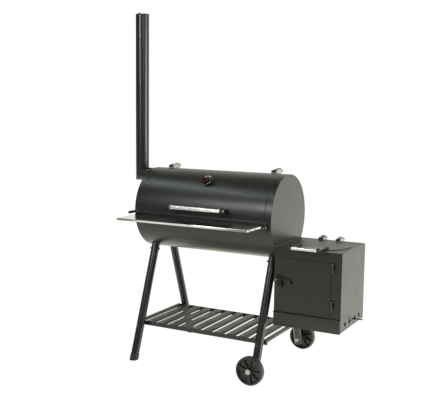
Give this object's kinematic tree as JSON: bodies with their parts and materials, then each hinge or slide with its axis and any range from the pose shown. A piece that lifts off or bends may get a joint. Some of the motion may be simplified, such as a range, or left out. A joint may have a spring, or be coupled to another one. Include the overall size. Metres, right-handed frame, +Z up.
{
  "type": "offset smoker",
  "caption": "Offset smoker: horizontal barrel with hinged lid, side firebox with door and round lid, tall elbow chimney, fold-down shelf, splayed legs, rack and wheels.",
  "frame": {"origin": "middle of the object's box, at floor level", "axes": "+Z up, +X towards the firebox along the barrel, -Y towards the person using it"},
  "size_m": [1.2316, 0.7204, 1.7128],
  "materials": {
    "black_paint": "satin heat-resistant black paint over sheet steel",
    "black_fittings": "black coated fittings, a little glossier than the body",
    "stainless": "brushed stainless steel",
    "zinc_hardware": "bright zinc-plated steel",
    "dark_hardware": "blackened bolts and nuts",
    "grate_steel": "plated steel rod grates",
    "cast_grate": "rough cast iron",
    "black_plastic": "black moulded plastic, slightly shiny",
    "gauge_case": "gloss black bezel",
    "gauge_dial": "printed black dial with coloured arcs",
    "gauge_glass": "clear flat glass",
    "needle_red": "red pointer"
  },
  "bodies": {
    "smoker": {"barrel_shell": "black_paint", "left_end_cap": "black_paint", "right_end_cap": "black_paint", "barrel_hinge_knuckles": "zinc_hardware", "hinge_pins": "zinc_hardware", "chimney_pipe": "black_paint", "cap_pivot_screw": "zinc_hardware", "cooking_grate_left": "grate_steel", "cooking_grate_right": "grate_steel", "shelf_brackets": "black_fittings", "shelf_pivot_bolts": "zinc_hardware", "leg_front_left": "black_paint", "leg_rear_left": "black_paint", "leg_front_right": "black_paint", "leg_rear_right": "black_paint", "leg_spigots": "black_paint", "frame_bolts": "dark_hardware", "foot_caps": "black_plastic", "axle_bolts": "zinc_hardware", "axle_spacers": "zinc_hardware", "rack_front_rail": "black_paint", "rack_rear_rail": "black_paint", "rack_slats": "black_paint", "rack_end_slats": "black_paint", "rack_rivets": "zinc_hardware", "firebox_body": "black_paint", "firebox_flange_bolts": "dark_hardware", "door_fixed_knuckles": "black_fittings", "latch_keeper": "black_fittings", "keeper_screw": "zinc_hardware", "fire_grate": "cast_grate", "fire_lid_hinge_knuckles": "zinc_hardware", "side_handle": "black_fittings"},
    "barrel_lid": {"barrel_lid": "black_paint", "lid_hinge_arms": "zinc_hardware", "lid_hinge_blocks": "black_fittings", "lid_handle_tube": "stainless", "lid_handle_standoffs": "black_fittings", "lid_handle_screws": "zinc_hardware", "thermometer_case": "gauge_case", "thermometer_dial": "gauge_dial", "thermometer_glass": "gauge_glass", "thermometer_nut": "zinc_hardware"},
    "thermometer_needle": {"thermometer_needle": "needle_red"},
    "firebox_lid": {"firebox_lid": "black_paint", "fire_lid_hinge_arms": "zinc_hardware", "fire_lid_hinge_blocks": "black_fittings", "fire_lid_handle_tube": "stainless", "fire_lid_handle_arms": "black_fittings"},
    "firebox_door": {"firebox_door": "black_paint", "door_moving_knuckles": "black_fittings", "latch_pivot_screw": "zinc_hardware"},
    "latch": {"latch_arm": "black_fittings", "latch_knob": "black_plastic"},
    "ash_drawer": {"ash_drawer": "black_paint"},
    "vent_slider": {"vent_slider": "zinc_hardware"},
    "chimney_cap": {"chimney_cap": "black_paint"},
    "front_shelf": {"front_shelf": "stainless"},
    "front_wheel": {"front_wheel": "black_plastic"},
    "rear_wheel": {"rear_wheel": "black_plastic"}
  },
  "joints": [
    {"name": "barrel_lid_hinge", "type": "hinge", "parent": "smoker", "child": "barrel_lid", "pos_m": [-0.12275, 0.09275, 0.9405], "axis": [-1, 0, 0], "range_deg": [0, 115]},
    {"name": "thermometer_needle_turn", "type": "hinge", "parent": "barrel_lid", "child": "thermometer_needle", "pos_m": [-0.11675, -0.11271, 0.89608], "axis": [0, -0.9397, 0.342], "range_deg": [-250, 10]},
    {"name": "firebox_lid_hinge", "type": "hinge", "parent": "smoker", "child": "firebox_lid", "pos_m": [0.41075, 0.17975, 0.6235], "axis": [-1, 0, 0], "range_deg": [0, 100]},
    {"name": "firebox_door_hinge", "type": "hinge", "parent": "smoker", "child": "firebox_door", "pos_m": [0.52875, -0.14025, 0.4055], "axis": [0, 0, 1], "range_deg": [0, 110]},
    {"name": "latch_turn", "type": "hinge", "parent": "firebox_door", "child": "latch", "pos_m": [0.32725, -0.13725, 0.4535], "axis": [0, 1, 0], "range_deg": [0, 90]},
    {"name": "ash_drawer_slide", "type": "slide", "parent": "smoker", "child": "ash_drawer", "axis": [0, -1, 0], "range_m": [0, 0.25]},
    {"name": "vent_slide", "type": "slide", "parent": "smoker", "child": "vent_slider", "axis": [0, -1, 0], "range_m": [0, 0.032]},
    {"name": "chimney_cap_turn", "type": "hinge", "parent": "smoker", "child": "chimney_cap", "pos_m": [-0.56075, 0.02775, 1.6995], "axis": [0, 0, 1], "range_deg": [0, 110]},
    {"name": "front_shelf_hinge", "type": "hinge", "parent": "smoker", "child": "front_shelf", "pos_m": [-0.12275, -0.18625, 0.7035], "axis": [1, 0, 0], "range_deg": [0, 88]},
    {"name": "front_wheel_spin", "type": "hinge", "parent": "smoker", "child": "front_wheel", "pos_m": [0.20575, -0.28025, 0.066], "axis": [0, 1, 0], "continuous": true},
    {"name": "rear_wheel_spin", "type": "hinge", "parent": "smoker", "child": "rear_wheel", "pos_m": [0.20575, 0.33575, 0.066], "axis": [0, 1, 0], "continuous": true}
  ]
}
